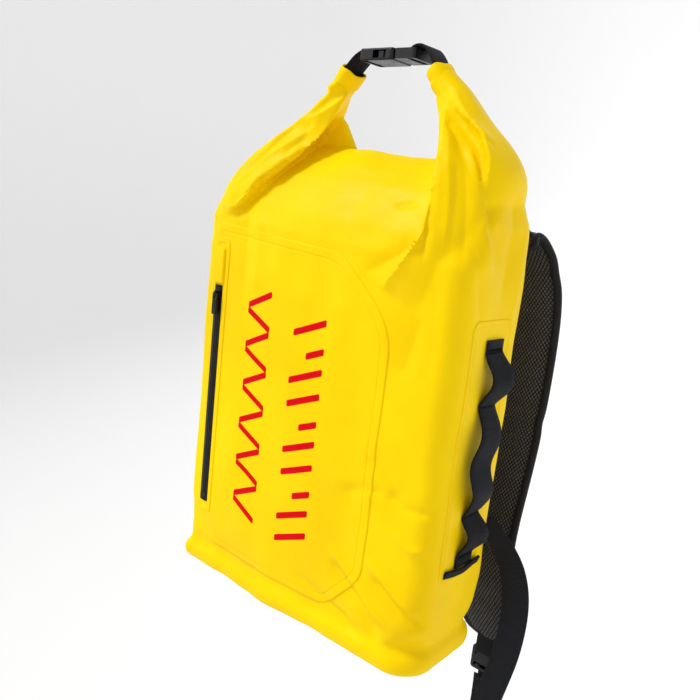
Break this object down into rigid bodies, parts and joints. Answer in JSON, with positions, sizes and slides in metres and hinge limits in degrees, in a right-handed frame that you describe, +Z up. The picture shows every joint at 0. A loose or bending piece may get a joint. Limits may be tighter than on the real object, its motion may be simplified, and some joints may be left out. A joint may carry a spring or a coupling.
{
  "type": "roll-top dry bag backpack",
  "caption": "Roll-top waterproof backpack in welded tarpaulin, hung by its buckled top, with a zipped front pocket, webbing ladders on its sides and padded shoulder straps.",
  "frame": {"origin": "hang point: the middle of the underside of the closed buckle, where a hook bears", "axes": "+Z up; +X to the right seen from the front; -Y out of the pocket face, +Y towards the shoulder straps"},
  "size_m": [0.3304, 0.1815, 0.6726],
  "materials": {
    "tarpaulin": "satin",
    "stiffener": "matte",
    "webbing": "matte",
    "thread": "matte",
    "spacer_mesh": "matte",
    "binding": "matte",
    "zip_tape": "satin",
    "zip_chain": "satin",
    "zip_slider": "gloss",
    "zip_pull": "gloss",
    "buckle_plastic": "satin"
  },
  "bodies": {
    "bag": {"adjuster_webbing_left": "webbing", "adjuster_webbing_right": "webbing", "anchor_patch_left": "tarpaulin", "anchor_patch_right": "tarpaulin", "back_pad": "spacer_mesh", "back_panel": "tarpaulin", "bottom_panel": "tarpaulin", "buckle_socket": "buckle_plastic", "daisy_bartacks_left": "thread", "daisy_bartacks_right": "thread", "daisy_chain_left": "webbing", "daisy_chain_right": "webbing", "front_panel": "tarpaulin", "mouth_stiffener": "stiffener", "pocket_panel": "tarpaulin", "roll_top": "tarpaulin", "side_gusset_left": "tarpaulin", "side_gusset_right": "tarpaulin", "side_patch_left": "tarpaulin", "side_patch_right": "tarpaulin", "strap_anchor_left": "tarpaulin", "strap_anchor_right": "tarpaulin", "tether_left": "webbing", "tether_right": "webbing", "yoke_patch": "tarpaulin", "zip_chain": "zip_chain", "zip_facing": "tarpaulin", "zip_garage": "tarpaulin", "zip_stops": "zip_chain", "zip_tape": "zip_tape"},
    "zip_slider": {"zip_slider": "zip_slider"},
    "zip_pull": {"zip_pull": "zip_pull"},
    "buckle_plug": {"buckle_plug": "buckle_plastic"},
    "prong_front": {"buckle_prong_front": "buckle_plastic"},
    "prong_back": {"buckle_prong_back": "buckle_plastic"},
    "strap_right": {"shoulder_pad_right": "spacer_mesh", "pad_binding_right": "binding", "pad_webbing_right": "webbing", "pad_bartacks_right": "thread", "lock_loop_right": "webbing"},
    "lock_right": {"ladder_lock_right": "buckle_plastic", "webbing_tail_right": "webbing"},
    "strap_left": {"shoulder_pad_left": "spacer_mesh", "pad_binding_left": "binding", "pad_webbing_left": "webbing", "pad_bartacks_left": "thread", "lock_loop_left": "webbing"},
    "lock_left": {"ladder_lock_left": "buckle_plastic", "webbing_tail_left": "webbing"}
  },
  "joints": [
    {"name": "zip_slider_travel", "type": "slide", "parent": "bag", "child": "zip_slider", "axis": [0, 0, -1], "range_m": [0, 0.195]},
    {"name": "zip_pull_swing", "type": "hinge", "parent": "zip_slider", "child": "zip_pull", "pos_m": [-0.137, -0.06288, -0.2173], "axis": [-1, 0, 0], "range_deg": [0, 150]},
    {"name": "buckle_release", "type": "slide", "parent": "bag", "child": "buckle_plug", "axis": [1, 0, 0], "range_m": [0, 0.028], "deforming": ["tether_right"]},
    {"name": "prong_front_flex", "type": "hinge", "parent": "buckle_plug", "child": "prong_front", "pos_m": [0.009, -0.0094, 0.005], "axis": [0, 0, 1], "range_deg": [-11, 0]},
    {"name": "prong_back_flex", "type": "hinge", "parent": "buckle_plug", "child": "prong_back", "pos_m": [0.009, 0.0094, 0.005], "axis": [0, 0, 1], "range_deg": [0, 11]},
    {"name": "strap_right_swing", "type": "hinge", "parent": "bag", "child": "strap_right", "pos_m": [0.094, 0.057, -0.139], "axis": [1, 0, 0], "range_deg": [0, 35], "deforming": ["adjuster_webbing_right"]},
    {"name": "ladder_lock_right_tilt", "type": "hinge", "parent": "strap_right", "child": "lock_right", "pos_m": [0.121, 0.099, -0.5374], "axis": [1, 0, 0], "range_deg": [0, 40]},
    {"name": "strap_left_swing", "type": "hinge", "parent": "bag", "child": "strap_left", "pos_m": [-0.126, 0.057, -0.139], "axis": [1, 0, 0], "range_deg": [0, 35], "deforming": ["adjuster_webbing_left"]},
    {"name": "ladder_lock_left_tilt", "type": "hinge", "parent": "strap_left", "child": "lock_left", "pos_m": [-0.153, 0.099, -0.5374], "axis": [1, 0, 0], "range_deg": [0, 40]}
  ],
  "couplings": [
    {"joint": "prong_front_flex", "follows": "buckle_release", "rad_per_m": -6.25},
    {"joint": "prong_back_flex", "follows": "buckle_release", "rad_per_m": 6.25}
  ]
}
